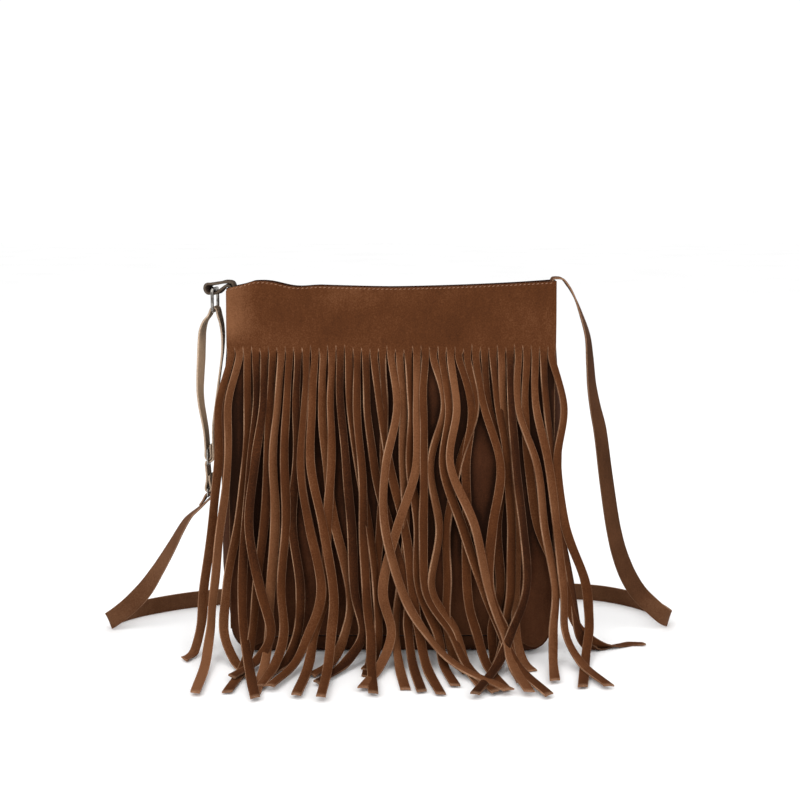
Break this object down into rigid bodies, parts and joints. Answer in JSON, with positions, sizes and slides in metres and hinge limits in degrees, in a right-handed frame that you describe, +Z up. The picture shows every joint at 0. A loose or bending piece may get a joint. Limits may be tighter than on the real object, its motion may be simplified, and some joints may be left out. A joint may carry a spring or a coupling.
{
  "type": "fringed suede bag",
  "caption": "Soft brown suede crossbody bag with a slit fringe hanging down its front, a narrow shoulder strap, a strap ring on a side tab and a strap slider.",
  "frame": {"origin": "on the floor, in the middle of the bag's flat base", "axes": "+X to the right as seen from the front, -Y to the front where the fringe hangs, +Z up"},
  "size_m": [0.4942, 0.2627, 0.3087],
  "materials": {
    "suede": "brushed brown suede",
    "fringe": "brown suede with pale cut edges",
    "strap": "brown suede strap",
    "lining": "dark brown woven lining",
    "nickel": "plated metal, slightly dull"
  },
  "bodies": {
    "bag": {"front_panel": "suede", "back_panel": "suede", "gusset": "suede", "lining": "lining", "snap_stud": "nickel", "snap_socket": "nickel", "fringe_panel": "fringe", "ring_tab": "suede", "adjuster_strap": "strap", "strap_link": "nickel", "long_strap": "strap"},
    "ring": {"strap_ring": "nickel"},
    "slider": {"strap_slider": "nickel"}
  },
  "joints": [
    {"name": "ring_swing", "type": "hinge", "parent": "bag", "child": "ring", "pos_m": [-0.143, 0, 0.2992], "axis": [0.0872, 0.9962, 0], "range_deg": [-25, 50], "deforming": ["adjuster_strap"]},
    {"name": "slider_slide", "type": "slide", "parent": "bag", "child": "slider", "axis": [0, 0, 1], "range_m": [0, 0.045], "deforming": ["adjuster_strap"]}
  ]
}
